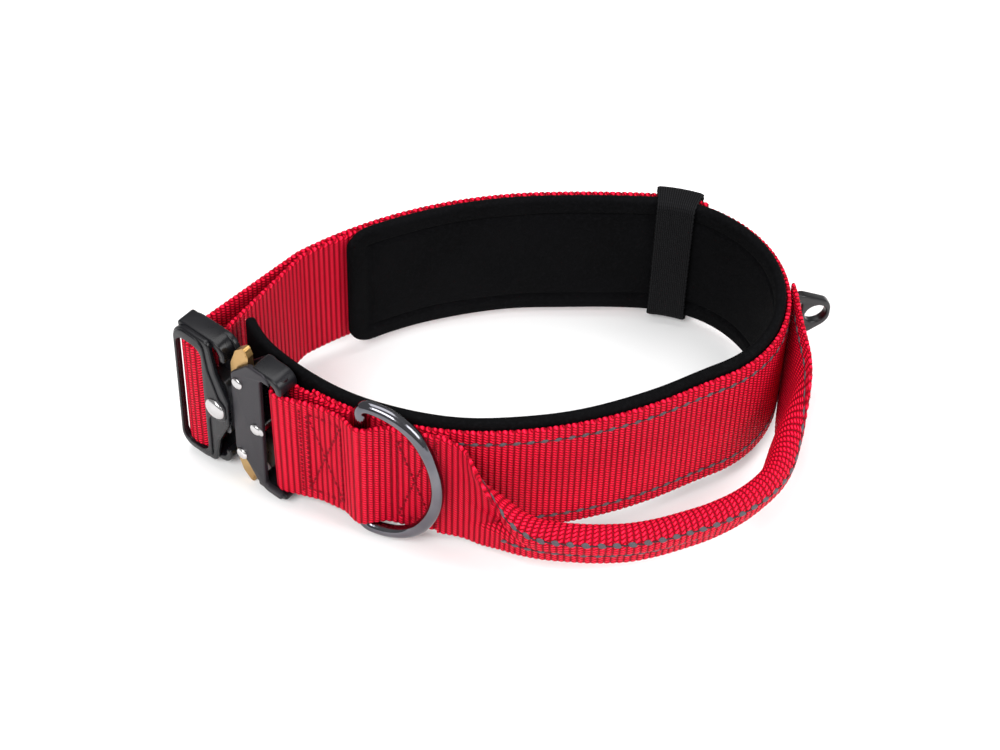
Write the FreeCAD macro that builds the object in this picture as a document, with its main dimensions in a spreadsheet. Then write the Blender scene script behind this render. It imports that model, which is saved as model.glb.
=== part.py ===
import FreeCAD, Part
import math
import os

import Sketcher
from FreeCAD import Placement, Rotation, Vector

# Wide padded dog collar with a quick-release buckle, a D-ring, a sewn control handle, a strap keeper
# and a small leash ring.  Millimetres, +Z up.  The collar stands on its lower edge, X runs along the
# long side of the neck opening with the buckle at -X, and the handle faces -Y.

DRIVING = [
    # moves the middle of the whole collar to X = Y = 0 and its lowest point to Z = 0
    ("plan_shift_x", -2.873),
    ("plan_shift_y", 2.158),
    ("lift", 2.609),
    # soft layers
    ("webbing_width", 50.0),
    ("webbing_bottom", 4.5),
    ("overlay_width", 49.4),
    ("overlay_bottom", 4.8),
    ("pad_height", 56.0),
    ("pad_bottom", 1.5),
    ("keeper_height", 58.8),
    ("keeper_bottom", 0.1),
    ("keeper_opening", 56.8),
    ("keeper_opening_top", 57.9),
    ("loop_width", 12.0),
    ("loop_bottom", 23.5),
    # buckle: distances out from the collar's middle, and the height of the buckle's centre
    ("buckle_heading", -38.0),
    ("buckle_centre", 31.0),
    ("male_back_out", 66.0),
    ("male_back_thickness", 2.2),
    ("flange_depth", 7.4),
    ("slot_frame_out", 73.5),
    ("slot_frame_thickness", 2.5),
    ("tongue_root_out", 68.3),
    ("tongue_root_depth", 5.1),
    ("tongue_blade_out", 69.8),
    ("tongue_blade_thickness", 2.0),
    ("female_back_out", 64.6),
    ("female_back_thickness", 1.8),
    ("arm_depth", 7.3),
    ("front_plate_out", 72.0),
    ("front_plate_thickness", 2.0),
    ("latch_out", 69.0),
    ("latch_thickness", 2.6),
    ("pivot_along", -53.4),
    ("pivot_across", 18.0),
    ("pin_radius", 1.5),
    ("pin_clearance", 0.05),
    ("pin_head_radius", 2.1),
    ("rivet_along", -62.9),
    ("rivet_radius", 2.5),
    ("rivet_head_radius", 4.0),
    ("stud_along", -44.7),
    ("slide_bar_along", -73.5),
    ("slide_bar_out", 70.2),
    ("slide_bar_radius", 2.2),
    ("webbing_bar_along", -37.0),
    ("webbing_bar_out", 69.4),
    ("webbing_bar_radius", 2.2),
    ("bar_length", 59.0),
    # rings
    ("ring_wire_radius", 2.3),
    ("ring_heading", -23.0),
    ("ring_centre", 32.2),
    ("leash_ring_thickness", 3.4),
    ("leash_bar_radius", 1.5),
    ("leash_ring_centre", 29.5),
]

# start of the sewn line, where the pad meets the webbing: x, y and heading in degrees
PLAN_START = (-87.4, -2.1, -68.6)
# (radius, turn in degrees) of each tangent arc of the sewn line
PLAN_PIECES = [
    (47.7, 21.6),
    (94.4, 51.9),
    (143.0, 26.5),
    (-274.0, -3.2),
    (43.2, 93.9),
    (46.2, 57.0),
    (378.0, 6.2),
    (152.4, 42.0),
]

# distances along the sewn line, from the pad's end behind the buckle
PAD_END = 415.0
WEBBING_START = 40.0
BOX_END = 55.0
RING_AT = 60.0
OVERLAY_END = 88.0
HANDLE_END = 235.5
LEASH_LOOP_START = 237.0
LEASH_RING_AT = 244.0
LEASH_LOOP_END = 251.0
TAIL_END = 283.0
KEEPER_START = 287.0
KEEPER_END = 302.0

# offsets outward from the sewn line
PAD = (-4.0, -0.1)
WEBBING = (0.0, 1.8)
SECOND_LAYER = (1.9, 3.7)
THIRD_LAYER = (3.8, 5.6)
KEEPER_OUTSIDE = (-5.4, 5.1)
KEEPER_INSIDE = (-4.3, 4.1)
HALF_PLY = 0.9

# handle stations: x, y, heading in degrees, height, thickness, height of its middle
HANDLE_STATIONS = [
    (-15.6, -50.1, -6, 49.4, 1.8, 29.5),
    (-7.0, -52.4, -24, 44.0, 2.4, 29.0),
    (1.0, -57.6, -33, 32.0, 4.0, 27.5),
    (8.6, -62.6, -30, 23.0, 5.6, 26.5),
    (17.0, -66.2, -17, 20.5, 6.0, 26.5),
    (34.0, -69.0, 0, 20.0, 6.0, 26.5),
    (53.0, -65.5, 19, 20.0, 6.0, 26.5),
    (71.0, -57.5, 30, 20.0, 6.0, 26.5),
    (89.0, -44.0, 43, 20.0, 6.0, 26.5),
    (99.5, -31.0, 58, 21.0, 6.0, 27.0),
    (105.6, -16.0, 76, 24.0, 5.4, 28.0),
    (106.0, -3.0, 98, 34.0, 3.6, 29.0),
    (102.6, 10.0, 103, 46.0, 2.0, 29.5),
]


doc = FreeCAD.newDocument("collar")
sheet = doc.addObject("Spreadsheet::Sheet", "Sizes")
for row, (alias, value) in enumerate(DRIVING, start=1):
    sheet.set(f"A{row}", alias)
    sheet.set(f"B{row}", str(value))
    sheet.setAlias(f"B{row}", alias)
doc.recompute()


def size(alias):
    return float(sheet.get(alias))


# ---------------------------------------------------------------- plan geometry


def direction(heading):
    return Vector(math.cos(heading), math.sin(heading), 0)


def outward(heading):
    return Vector(math.sin(heading), -math.cos(heading), 0)


def advance(pose, piece, distance):
    """The pose reached after a distance along one piece that starts at pose."""
    point, heading = pose
    radius = piece[0]
    centre = point - outward(heading) * radius
    turned = heading + distance / radius
    return centre + outward(turned) * radius, turned


def piece_length(piece):
    return piece[0] * math.radians(piece[1])


def plan_pose(distance):
    """Point and heading of the sewn line at a distance from its start."""
    pose = (Vector(PLAN_START[0], PLAN_START[1], 0), math.radians(PLAN_START[2]))
    left = distance
    for piece in PLAN_PIECES:
        length = piece_length(piece)
        if left <= length or piece is PLAN_PIECES[-1]:
            return advance(pose, piece, left)
        pose = advance(pose, piece, length)
        left -= length


def plan_point(distance, offset, height=0.0):
    point, heading = plan_pose(distance)
    point = point + outward(heading) * offset
    return Vector(point.x, point.y, height)


def plan_breaks(start, end):
    """Ends of the pieces between two distances, with those distances."""
    ends = []
    total = 0.0
    for piece in PLAN_PIECES:
        total += piece_length(piece)
        ends.append(total)
    inner = [value for value in ends if start + 1 < value < end - 1]
    return [start] + inner + [end]


def parallel(start, end, offset):
    """Spans of a line parallel to the sewn line.  A span is its start, middle and end pose."""
    low, high = min(start, end), max(start, end)
    marks = plan_breaks(low, high)
    reverse = end < start
    if reverse:
        marks = marks[::-1]
    spans = []
    for first, last in zip(marks, marks[1:]):
        span = []
        for mark in (first, (first + last) / 2, last):
            point, heading = plan_pose(mark)
            shifted = point + outward(heading) * offset
            span.append((shifted, heading + math.pi if reverse else heading))
        spans.append(span)
    return spans


def straight(first, last):
    heading = math.atan2(last.y - first.y, last.x - first.x)
    return [(first, heading), ((first + last) * 0.5, heading), (last, heading)]


def turn_round(centre, radius, first, last, left):
    """Span round a circle from heading first to heading last, its centre on the left or the right."""
    side = 1 if left else -1
    span = []
    for heading in (first, (first + last) / 2, last):
        span.append((centre + outward(heading) * radius * side, heading))
    return span


def tangent_heading(point, centre, radius, left):
    """Heading from a point to the tangent point of a circle that stays on the left or the right."""
    to_centre = centre - point
    bearing = math.atan2(to_centre.y, to_centre.x)
    spread = math.asin(radius / to_centre.Length)
    return bearing - spread if left else bearing + spread


def wrap(start, end, centre, radius, left):
    """Straight leg, turn round a bar, straight leg."""
    first = tangent_heading(start, centre, radius, left)
    last = tangent_heading(end, centre, radius, not left) + math.pi
    turned = (last - first) % (2 * math.pi) if left else -((first - last) % (2 * math.pi))
    last = first + turned
    arc = turn_round(centre, radius, first, last, left)
    return [straight(start, arc[0][0]), arc, straight(arc[2][0], end)]


def side_of(spans, offset):
    """One side of a band: its spans moved by an offset, joined where two of them meet."""
    side = [[point + outward(heading) * offset for point, heading in span] for span in spans]
    for before, after in zip(side, side[1:]):
        joint = (before[2] + after[0]) * 0.5
        before[2] = joint
        after[0] = joint
    return side


def band_outline(spans, inner, outer):
    """Closed outline between two offsets from a chain of spans."""
    out = side_of(spans, outer)
    back = [points[::-1] for points in side_of(spans, inner)[::-1]]
    cap_end = [out[-1][2], (out[-1][2] + back[0][0]) * 0.5, back[0][0]]
    cap_start = [back[-1][2], (back[-1][2] + out[0][0]) * 0.5, out[0][0]]
    return out + [cap_end] + back + [cap_start]


def rounded(corners):
    """Closed outline through corners (x, y, radius), with an arc of that radius at each corner."""
    count = len(corners)
    marks = []
    for index in range(count):
        x, y, radius = corners[index]
        corner = Vector(x, y, 0)
        before = Vector(*corners[index - 1][:2], 0) - corner
        after = Vector(*corners[(index + 1) % count][:2], 0) - corner
        before.normalize()
        after.normalize()
        half = before.getAngle(after) / 2
        if radius == 0:
            marks.append([corner])
            continue
        reach = radius / math.tan(half)
        bisector = before + after
        bisector.normalize()
        middle = corner + bisector * (radius / math.sin(half) - radius)
        marks.append([corner + before * reach, middle, corner + after * reach])
    outline = []
    for index in range(count):
        if len(marks[index]) == 3:
            outline.append(marks[index])
        first = marks[index][-1]
        last = marks[(index + 1) % count][0]
        if (last - first).Length > 1e-6:
            outline.append([first, (first + last) * 0.5, last])
    return outline


def mirrored(upper):
    """Corners of an outline that is symmetric about y = 0, from its upper half, left to right."""
    lower = [(x, -y, radius) for x, y, radius in reversed(upper)]
    return upper + lower


# ---------------------------------------------------------------- document objects

NODES = []
SHIFT = Vector(size("plan_shift_x"), size("plan_shift_y"), size("lift"))
HEADING = size("buckle_heading")
CENTRE = size("buckle_centre")


def register(item, name):
    item.Label = name
    NODES.append((name, item))
    return item


def new_body(name, heading=0.0):
    """Body whose plan is moved by the plan shift and turned about +Z."""
    body = register(doc.addObject("PartDesign::Body", name), name)
    body.Placement = Placement(SHIFT, Rotation(Vector(0, 0, 1), heading))
    body.setExpression("Placement.Base.x", "Sizes.plan_shift_x")
    body.setExpression("Placement.Base.y", "Sizes.plan_shift_y")
    body.setExpression("Placement.Base.z", "Sizes.lift")
    return body


def new_sketch(body, plane, along_normal, up=None, base=Vector(), turn=0.0):
    """Sketch on one of the body's origin planes; its offset along the normal is an expression."""
    sketch = body.newObject("Sketcher::SketchObject", "Sketch")
    support = next(item for item in body.Origin.OriginFeatures if item.Role == plane)
    sketch.AttachmentSupport = [(support, "")]
    sketch.MapMode = "FlatFace"
    sketch.AttachmentOffset = Placement(base, Rotation(Vector(0, 1, 0), turn))
    if along_normal:
        sketch.setExpression("AttachmentOffset.Base.z", along_normal)
    if up:
        sketch.setExpression("AttachmentOffset.Base.y", up)
    return sketch


def draw(sketch, outline):
    """Draw a closed outline of three-point spans and tie each end to the next start."""
    ends = []
    for first, middle, last in outline:
        turn = (last - first).cross(middle - first).z
        if abs(turn) < 1e-3 * (last - first).Length:
            index = sketch.addGeometry(Part.LineSegment(first, last))
            ends.append((index, 1, 2))
        elif turn < 0:
            index = sketch.addGeometry(Part.Arc(first, middle, last))
            ends.append((index, 1, 2))
        else:
            index = sketch.addGeometry(Part.Arc(last, middle, first))
            ends.append((index, 2, 1))
    for here, following in zip(ends, ends[1:] + ends[:1]):
        sketch.addConstraint(Sketcher.Constraint("Coincident", here[0], here[2], following[0], following[1]))


def draw_circle(sketch, x, y, radius, expression=None):
    index = sketch.addGeometry(Part.Circle(Vector(x, y, 0), Vector(0, 0, 1), radius))
    row = sketch.addConstraint(Sketcher.Constraint("Radius", index, radius))
    if expression:
        sketch.setExpression(f"Constraints[{row}]", expression)


def pad(body, sketch, length, reversed_pad=False):
    feature = body.newObject("PartDesign::Pad", "Pad")
    feature.Profile = sketch
    feature.Reversed = reversed_pad
    feature.setExpression("Length", length)
    body.Tip = feature
    doc.recompute()
    return feature


def pocket(body, sketch, length=None):
    """Pocket against the sketch's normal, or through the body on both sides."""
    before = body.Shape.Volume
    feature = body.newObject("PartDesign::Pocket", "Pocket")
    feature.Profile = sketch
    if length:
        feature.setExpression("Length", length)
    else:
        feature.Type = 1
        feature.Midplane = True
    body.Tip = feature
    doc.recompute()
    if body.Shape.Volume > before - 0.01:
        raise RuntimeError(f"{body.Label}: a pocket cut nothing")
    return feature


# ---------------------------------------------------------------- soft pieces


def band(name, outline, bottom, width):
    """Upright strip with the given plan outline."""
    body = new_body(name)
    sketch = new_sketch(body, "XY_Plane", bottom)
    draw(sketch, outline)
    pad(body, sketch, width)
    return body


def layer(start, end, offsets):
    return band_outline(parallel(start, end, 0), offsets[0], offsets[1])


def bar_centre(along, out):
    """Plan position of an upright bar of the buckle."""
    heading = math.radians(HEADING)
    return direction(heading) * along + outward(heading) * out


def layer_middle(offsets):
    return (offsets[0] + offsets[1]) / 2


def adjuster_spans():
    """Inner layer to the slide bar, round it, and back to the outer layer."""
    centre = bar_centre(size("slide_bar_along"), size("slide_bar_out"))
    radius = size("slide_bar_radius") + 0.2 + HALF_PLY
    inner = parallel(PAD_END + 0.3, 432.0, layer_middle(WEBBING))
    outer = parallel(432.0, PAD_END + 0.3, layer_middle(SECOND_LAYER))
    return inner + wrap(inner[-1][2][0], outer[0][0][0], centre, radius, False)[0:3] + outer


def ring_bar_centre():
    return plan_point(RING_AT, WEBBING[1] + 0.3 + size("ring_wire_radius"))


def overlay_spans():
    """From the stitched box to the buckle bar, round it, back over the box and round the D-ring's bar."""
    bar = bar_centre(size("webbing_bar_along"), size("webbing_bar_out"))
    bar_turn = size("webbing_bar_radius") + 0.2 + HALF_PLY
    ring_turn = size("ring_wire_radius") + 0.3 + HALF_PLY
    first_ply = layer_middle(SECOND_LAYER) + 0.25
    second_ply = layer_middle(THIRD_LAYER) + 0.25
    under = parallel(BOX_END, 46.0, first_ply)
    over = parallel(46.0, BOX_END - 0.5, second_ply)
    beyond = parallel(RING_AT + 8.5, OVERLAY_END, first_ply)
    round_bar = wrap(under[-1][2][0], over[0][0][0], bar, bar_turn, True)
    round_ring = wrap(over[-1][2][0], beyond[0][0][0], ring_bar_centre(), ring_turn, True)
    return under + round_bar + over + round_ring + beyond


def leash_bar_centre():
    return plan_point(LEASH_RING_AT, WEBBING[1] + 0.9 + size("leash_bar_radius"))


def leash_loop_spans():
    turn = size("leash_bar_radius") + 0.3 + HALF_PLY
    middle = layer_middle(SECOND_LAYER)
    before = parallel(LEASH_LOOP_START, LEASH_LOOP_START + 1.5, middle)
    after = parallel(LEASH_LOOP_END - 1.5, LEASH_LOOP_END, middle)
    return before + wrap(before[-1][2][0], after[0][0][0], leash_bar_centre(), turn, True) + after


def make_keeper():
    body = new_body("keeper")
    outside = new_sketch(body, "XY_Plane", "Sizes.keeper_bottom")
    draw(outside, layer(KEEPER_START, KEEPER_END, KEEPER_OUTSIDE))
    pad(body, outside, "Sizes.keeper_height")
    opening = new_sketch(body, "XY_Plane", "Sizes.keeper_opening_top")
    draw(opening, layer(KEEPER_START - 1, KEEPER_END + 1, KEEPER_INSIDE))
    pocket(body, opening, "Sizes.keeper_opening")


def make_handle():
    """Folded webbing: a smooth loft through upright rectangles."""
    body = new_body("handle_webbing")
    end, heading = plan_pose(HANDLE_END)
    end = end + outward(heading) * (layer_middle(SECOND_LAYER) + 0.4)
    last = (end.x, end.y, math.degrees(heading), 49.4, 1.8, 29.5)
    sketches = []
    for x, y, turn, height, thickness, middle in HANDLE_STATIONS + [last]:
        sketch = new_sketch(body, "XZ_Plane", None, base=Vector(x, 0, -y), turn=turn - 90)
        half = thickness / 2
        low = middle - height / 2
        high = middle + height / 2
        corners = [(-half, low), (half, low), (half, high), (-half, high)]
        points = [Vector(across, up, 0) for across, up in corners]
        for first, second in zip(points, points[1:] + points[:1]):
            sketch.addGeometry(Part.LineSegment(first, second))
        sketches.append(sketch)
    loft = body.newObject("PartDesign::AdditiveLoft", "Loft")
    loft.Profile = sketches[0]
    loft.Sections = sketches[1:]
    body.Tip = loft
    doc.recompute()


def stitch_bar(distance, offset, height, length, tilt):
    """One straight run of thread lying on the webbing."""
    bar = Part.makeBox(length, 0.4, 0.9, Vector(-length / 2, -0.4, -0.45))
    bar.rotate(Vector(), Vector(0, 1, 0), tilt)
    point, heading = plan_pose(distance)
    bar.rotate(Vector(), Vector(0, 0, 1), math.degrees(heading))
    bar.translate(point + outward(heading) * offset + Vector(0, 0, height) + SHIFT)
    return bar


def make_stitches():
    """Two stitched boxes with a cross, one each side of the D-ring."""
    bars = []
    for centre, length, offset in [(51.2, 4.4, 6.0), (77.5, 13.0, 4.1)]:
        tall = 40.0
        middle = size("overlay_bottom") + size("overlay_width") / 2
        diagonal = math.hypot(length, tall) - 4.0
        slope = math.degrees(math.atan2(tall, length))
        for side in (-1, 1):
            bars.append(stitch_bar(centre + side * length / 2, offset, middle, tall, 90))
            bars.append(stitch_bar(centre, offset, middle + side * (tall / 2 + 1.2), length, 0))
        bars.append(stitch_bar(centre, offset, middle, diagonal, slope) if length > 5 else bars.pop())
    solids = Part.makeCompound(bars)
    item = register(doc.addObject("Part::Feature", "box_stitches"), "box_stitches")
    item.Shape = solids


# ---------------------------------------------------------------- buckle


def buckle_body(name):
    return new_body(name, HEADING)


def plate(body, outline, out, depth):
    """Plate of the buckle: its outline is drawn about the buckle's centre height."""
    sketch = new_sketch(body, "XZ_Plane", f"Sizes.{out}", "Sizes.buckle_centre")
    draw(sketch, outline)
    return pad(body, sketch, f"Sizes.{depth}")


def cut_through(body, outline):
    sketch = new_sketch(body, "XZ_Plane", "Sizes.front_plate_out", "Sizes.buckle_centre")
    draw(sketch, outline)
    pocket(body, sketch)


def cut_hole(body, along, across, radius):
    sketch = new_sketch(body, "XZ_Plane", "Sizes.front_plate_out", "Sizes.buckle_centre")
    hole = size(radius) + size("pin_clearance")
    draw_circle(sketch, size(along), across, hole, f"Sizes.{radius} + Sizes.pin_clearance")
    pocket(body, sketch)


def make_male_frame():
    body = buckle_body("male_frame")
    back = mirrored([(-81.3, 30.2, 6), (-57.5, 30.2, 4)])
    plate(body, rounded(back), "male_back_out", "male_back_thickness")
    for side in (-1, 1):
        low = 27.4 * side
        high = 30.1 * side
        flange = [(-80.0, low, 0), (-61.0, low, 0), (-61.0, high, 0), (-76.0, high, 0)]
        plate(body, rounded(flange), "male_back_out", "flange_depth")
    window = [(-79.6, 26.4, 3), (-68.0, 26.4, 3), (-68.0, -26.9, 3), (-79.6, -26.9, 3)]
    cut_through(body, rounded(window))
    cut_hole(body, "rivet_along", 0.0, "rivet_radius")
    track = new_sketch(body, "XY_Plane", "Sizes.buckle_centre")
    reach = size("slide_bar_radius") + size("pin_clearance")
    middle = -size("slide_bar_out")
    low = size("slide_bar_along") - 1.5
    high = size("slide_bar_along") + 1.5
    near = middle - reach
    far = middle + reach
    right = [Vector(high, near, 0), Vector(high + reach, middle, 0), Vector(high, far, 0)]
    left = [Vector(low, far, 0), Vector(low - reach, middle, 0), Vector(low, near, 0)]
    top = [right[2], (right[2] + left[0]) * 0.5, left[0]]
    bottom = [left[2], (left[2] + right[0]) * 0.5, right[0]]
    draw(track, [right, top, left, bottom])
    pocket(body, track)
    return body


def cut_through_front(body, outline):
    sketch = new_sketch(body, "XZ_Plane", "Sizes.slot_frame_out", "Sizes.buckle_centre")
    draw(sketch, outline)
    pocket(body, sketch)


def make_slot_frame():
    body = buckle_body("slot_frame")
    upper = [(-81.3, 30.2, 6), (-65.0, 30.2, 2), (-62.6, 17.0, 3), (-57.6, 6.0, 2)]
    plate(body, rounded(mirrored(upper)), "slot_frame_out", "slot_frame_thickness")
    window = [(-79.6, 25.6, 4), (-68.0, 25.6, 4), (-68.0, -27.0, 4), (-79.6, -27.0, 4)]
    cut_through_front(body, rounded(window))
    cut_hole(body, "rivet_along", 0.0, "rivet_radius")


def make_tongue():
    body = buckle_body("tongue")
    root = mirrored([(-67.5, 13.0, 2), (-58.8, 13.0, 2)])
    blade = mirrored([(-66.0, 11.0, 2), (-51.0, 11.0, 2), (-47.6, 7.0, 1)])
    plate(body, rounded(root), "tongue_root_out", "tongue_root_depth")
    plate(body, rounded(blade), "tongue_blade_out", "tongue_blade_thickness")
    cut_hole(body, "rivet_along", 0.0, "rivet_radius")


def make_female_body():
    body = buckle_body("female_body")
    back = mirrored([(-55.0, 21.0, 3), (-46.4, 30.2, 2), (-42.5, 30.2, 1)])
    plate(body, rounded(back), "female_back_out", "female_back_thickness")
    for side in (-1, 1):
        low = 27.2 * side
        high = 30.1 * side
        arm = [(-47.0, low, 0), (-34.0, low, 0), (-34.0, high, 0), (-47.0, high, 0)]
        plate(body, rounded(arm), "female_back_out", "arm_depth")
    for side in (-1, 1):
        cut_hole(body, "pivot_along", size("pivot_across") * side, "pin_radius")
    cut_hole(body, "stud_along", 0.0, "pin_radius")
    bar = new_sketch(body, "XY_Plane", "Sizes.buckle_centre")
    fit = "Sizes.webbing_bar_radius + Sizes.pin_clearance"
    radius = size("webbing_bar_radius") + 0.05
    draw_circle(bar, size("webbing_bar_along"), -size("webbing_bar_out"), radius, fit)
    pocket(body, bar)


def make_front_plate():
    body = buckle_body("female_front_plate")
    outline = mirrored([(-56.5, 20.0, 2), (-46.4, 30.2, 2), (-42.0, 30.2, 1.5)])
    plate(body, rounded(outline), "front_plate_out", "front_plate_thickness")
    for side in (-1, 1):
        cut_hole(body, "pivot_along", size("pivot_across") * side, "pin_radius")
    cut_hole(body, "stud_along", 0.0, "pin_radius")


LATCH = [
    (-56.2, 12.6, 1.0),
    (-58.4, 17.5, 1.0),
    (-58.4, 23.0, 2.0),
    (-55.8, 30.5, 1.0),
    (-51.6, 34.5, 1.2),
    (-50.0, 30.5, 1.0),
    (-50.4, 15.0, 2.0),
    (-51.6, 12.6, 1.0),
]


def make_latch(name, side):
    body = buckle_body(name)
    outline = [(x, y * side, radius) for x, y, radius in LATCH]
    plate(body, rounded(outline), "latch_out", "latch_thickness")
    cut_hole(body, "pivot_along", size("pivot_across") * side, "pin_radius")


def upright_bar(name, along, out, radius, heading=0.0):
    """Round bar standing in the buckle, centred on the buckle's height."""
    body = buckle_body(name)
    sketch = new_sketch(body, "XY_Plane", "Sizes.buckle_centre")
    draw_circle(sketch, size(along), -size(out), size(radius), f"Sizes.{radius}")
    feature = pad(body, sketch, "Sizes.bar_length")
    feature.Midplane = True
    doc.recompute()


def rivet_shape(along, across, back, front, radius, head_radius, dome):
    """Rivet along the buckle's depth with a domed head at the front, in the buckle's own axes."""
    depth = Vector(0, -1, 0)
    shaft = Part.makeCylinder(radius, front - back, Vector(along, -back, CENTRE + across), depth)
    ball = (head_radius ** 2 + dome ** 2) / (2 * dome)
    sphere = Part.makeSphere(ball, Vector(along, -(front + 0.05 + dome - ball), CENTRE + across))
    keep = Part.makeCylinder(head_radius, dome + 1, Vector(along, -(front + 0.05), CENTRE + across), depth)
    neck = Part.makeCylinder(radius, 0.2, Vector(along, -(front - 0.1), CENTRE + across), depth)
    return shaft.fuse(sphere.common(keep)).fuse(neck).removeSplitter()


def rivets(name, shapes):
    """One node holding a group of separate rivets."""
    item = register(doc.addObject("Part::Feature", name), name)
    item.Shape = Part.makeCompound(shapes) if len(shapes) > 1 else shapes[0]
    item.Placement = Placement(SHIFT, Rotation(Vector(0, 0, 1), HEADING))


def make_rivets():
    front = size("front_plate_out") + size("front_plate_thickness")
    back = size("female_back_out")
    head = size("pin_head_radius")
    pins = []
    for side in (-1, 1):
        across = size("pivot_across") * side
        pins.append(rivet_shape(size("pivot_along"), across, back, front, size("pin_radius"), head, 0.7))
    rivets("latch_pins", pins)
    rivets("stud", [rivet_shape(size("stud_along"), 0.0, back, front, size("pin_radius"), head, 0.7)])
    front = size("slot_frame_out") + size("slot_frame_thickness")
    back = size("male_back_out")
    head = size("rivet_head_radius")
    shape = rivet_shape(size("rivet_along"), 0.0, back, front, size("rivet_radius"), head, 1.5)
    rivets("tongue_rivet", [shape])


def make_springs():
    """Torsion spring round each latch pin, behind the latch."""
    coils = []
    for side in (-1, 1):
        centre = Vector(size("pivot_along"), -66.6, CENTRE + size("pivot_across") * side)
        outside = Part.makeCylinder(2.4, 2.2, centre, Vector(0, -1, 0))
        inside = Part.makeCylinder(1.7, 2.2, centre, Vector(0, -1, 0))
        coils.append(outside.cut(inside))
    rivets("latch_springs", coils)


# ---------------------------------------------------------------- rings


def make_d_ring():
    """Round wire along a D: upright bar, two corners, two shoulders and a bow."""
    body = new_body("d_ring", size("ring_heading"))
    centre = ring_bar_centre()
    heading = math.radians(size("ring_heading"))
    bar = Vector(centre.dot(direction(heading)), -centre.dot(outward(heading)), 0)
    path = new_sketch(body, "XZ_Plane", None, "Sizes.ring_centre", base=Vector(bar.x, 0, -bar.y))
    half = 30.5
    corner = 4.0
    reach = 28.0
    shoulder = 20.0
    start = 5.0
    bow = ((half - shoulder) ** 2 + (reach - start) ** 2 - shoulder ** 2) / (2 * (reach - start - shoulder))
    bow_centre = reach - bow
    tilt = math.atan2(half - shoulder, start - bow_centre)
    spans = []
    tip = Vector(bow_centre + bow * math.cos(tilt), bow * math.sin(tilt), 0)
    lower_tip = Vector(tip.x, -tip.y, 0)
    middle_angle = (tilt + math.pi / 2) / 2
    shoulder_middle = Vector(start, half - shoulder, 0) + direction(middle_angle) * shoulder
    corner_middle = Vector(corner - corner * math.sqrt(0.5), half - corner + corner * math.sqrt(0.5), 0)
    upper = [
        [Vector(0, half - corner, 0), corner_middle, Vector(corner, half, 0)],
        [Vector(corner, half, 0), Vector((corner + start) / 2, half, 0), Vector(start, half, 0)],
        [Vector(start, half, 0), shoulder_middle, tip],
    ]
    lower = [[Vector(p.x, -p.y, 0) for p in points[::-1]] for points in upper[::-1]]
    spans = upper + [[tip, Vector(reach, 0, 0), lower_tip]] + lower
    spans.append([Vector(0, corner - half, 0), Vector(0, 0, 0), Vector(0, half - corner, 0)])
    draw(path, spans)
    profile = new_sketch(body, "XY_Plane", "Sizes.ring_centre")
    draw_circle(profile, bar.x, bar.y, size("ring_wire_radius"), "Sizes.ring_wire_radius")
    doc.recompute()
    pipe = body.newObject("PartDesign::AdditivePipe", "Pipe")
    pipe.Profile = profile
    pipe.Spine = path
    body.Tip = pipe
    doc.recompute()


def make_leash_ring():
    """Flat forged ring with a round hole, a slot and an upright bar; it stands across the webbing."""
    centre = leash_bar_centre()
    heading = plan_pose(LEASH_RING_AT)[1]
    thick = size("leash_ring_thickness")
    middle = size("leash_ring_centre")
    outline = rounded([(-1.6, -10.5, 1.4), (6.0, -10.5, 4.0), (17.0, -4.6, 5.6), (17.0, 4.6, 5.6),
                       (6.0, 10.5, 4.0), (-1.6, 10.5, 1.4)])
    edges = []
    for first, mid, last in outline:
        points = [Vector(p.x, 0, p.y) for p in (first, mid, last)]
        bent_here = abs((last - first).cross(mid - first).z) > 1e-3
        edges.append(Part.Arc(*points).toShape() if bent_here else Part.makeLine(points[0], points[2]))
    face = Part.Face(Part.Wire(edges))
    solid = face.extrude(Vector(0, thick, 0))
    solid.translate(Vector(0, -thick / 2, 0))
    hole = Part.makeCylinder(4.0, thick * 2, Vector(11.4, -thick, 0), Vector(0, 1, 0))
    slot = Part.makeBox(4.2, thick * 2, 15.0, Vector(1.5, -thick, -7.5))
    window = Part.makeBox(4.0, thick * 2, 15.0, Vector(-2.5, -thick, -7.5))
    bar = Part.makeCylinder(size("leash_bar_radius"), 15.4, Vector(0, 0, -7.7))
    ring = solid.cut(hole).cut(slot).cut(window).fuse(bar).removeSplitter()
    item = register(doc.addObject("Part::Feature", "leash_ring"), "leash_ring")
    item.Shape = ring
    turn = Rotation(Vector(0, 0, 1), math.degrees(heading) - 90)
    item.Placement = Placement(centre + SHIFT + Vector(0, 0, middle), turn)


# ---------------------------------------------------------------- assembly

band("neoprene_pad", layer(0.0, PAD_END, PAD), "Sizes.pad_bottom", "Sizes.pad_height")
band("main_webbing", layer(WEBBING_START, PAD_END, WEBBING), "Sizes.webbing_bottom", "Sizes.webbing_width")
band("adjuster_loop", band_outline(adjuster_spans(), -HALF_PLY, HALF_PLY), "Sizes.webbing_bottom",
     "Sizes.webbing_width")
band("adjuster_tail", layer(TAIL_END, PAD_END, SECOND_LAYER), "Sizes.webbing_bottom", "Sizes.webbing_width")
band("overlay_webbing", band_outline(overlay_spans(), -HALF_PLY, HALF_PLY), "Sizes.overlay_bottom",
     "Sizes.overlay_width")
band("leash_ring_loop", band_outline(leash_loop_spans(), -HALF_PLY, HALF_PLY), "Sizes.loop_bottom",
     "Sizes.loop_width")
make_handle()
make_keeper()
make_stitches()
make_male_frame()
make_slot_frame()
make_tongue()
make_female_body()
make_front_plate()
make_latch("latch_top", 1)
make_latch("latch_bottom", -1)
upright_bar("slide_bar", "slide_bar_along", "slide_bar_out", "slide_bar_radius")
upright_bar("webbing_bar", "webbing_bar_along", "webbing_bar_out", "webbing_bar_radius")
make_rivets()
make_springs()
make_d_ring()
make_leash_ring()

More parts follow.
